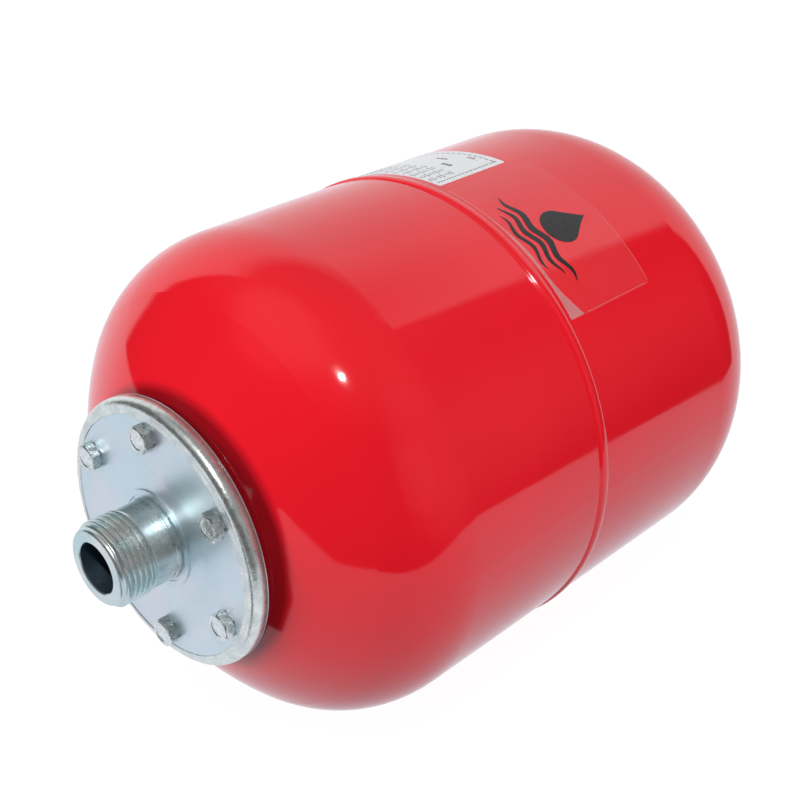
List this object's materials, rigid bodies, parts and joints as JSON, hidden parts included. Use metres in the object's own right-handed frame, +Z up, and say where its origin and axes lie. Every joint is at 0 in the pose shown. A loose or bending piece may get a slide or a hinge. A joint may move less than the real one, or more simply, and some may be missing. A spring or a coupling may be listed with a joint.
{
  "type": "expansion vessel",
  "caption": "Red steel membrane expansion vessel with a bolted flange cover, threaded water connection, rubber bladder and capped air valve.",
  "frame": {"origin": "on the vessel's axis in the plane of the flange cover's flat front face, inside the water nipple's bore", "axes": "the vessel's axis is Y and the water connection points to -Y, so the vessel lies on its side with +Z up; the printed film faces +X and +Z"},
  "size_m": [0.2016, 0.3469, 0.2016],
  "materials": {
    "red_paint": "gloss",
    "plain_steel": "satin",
    "black_rubber": "matt",
    "zinc_plate": "satin",
    "zinc_nipple": "satin",
    "zinc_bolt": "satin",
    "boss_steel": "satin",
    "valve_brass": "satin",
    "seal_plastic": "satin",
    "pin_steel": "satin",
    "spring_steel": "satin",
    "black_plastic": "satin",
    "guard_plastic": "satin",
    "label_paper": "satin",
    "clear_film": "gloss"
  },
  "bodies": {
    "vessel": {"front_shell": "red_paint", "rear_shell": "red_paint", "seam_weld": "red_paint", "backing_ring": "plain_steel", "backing_ring_weld": "plain_steel", "bladder": "black_rubber", "flange_cover": "zinc_plate", "water_nipple": "zinc_nipple", "nipple_weld": "plain_steel", "cover_bolts": "zinc_bolt", "valve_boss": "boss_steel", "valve_boss_weld": "plain_steel", "valve_stem": "valve_brass", "stem_seal": "black_rubber", "valve_core_body": "valve_brass", "core_seal": "seal_plastic", "valve_spring": "spring_steel", "data_label": "label_paper", "picture_film": "clear_film"},
    "valve_pin": {"valve_pin": "pin_steel", "poppet_seal": "black_rubber"},
    "cap_lift": {"dust_cap_seal": "black_rubber"},
    "dust_cap": {"dust_cap": "black_plastic"},
    "guard_cap": {"guard_cap": "guard_plastic"}
  },
  "joints": [
    {"name": "valve_press", "type": "slide", "parent": "vessel", "child": "valve_pin", "axis": [0, -1, 0], "range_m": [0, 0.0012], "stiffness_N_per_m": 1500, "deforming": ["valve_spring"]},
    {"name": "dust_cap_lift", "type": "slide", "parent": "vessel", "child": "cap_lift", "axis": [0, 1, 0], "range_m": [0, 0.00595]},
    {"name": "dust_cap_turn", "type": "hinge", "parent": "cap_lift", "child": "dust_cap", "pos_m": [0, 0.308, 0], "axis": [0, 1, 0], "range_deg": [0, 2700]},
    {"name": "guard_cap_pull", "type": "slide", "parent": "vessel", "child": "guard_cap", "axis": [0, 1, 0], "range_m": [0, 0.04]}
  ],
  "couplings": [
    {"joint": "dust_cap_turn", "follows": "dust_cap_lift", "rad_per_m": 7915.8}
  ]
}
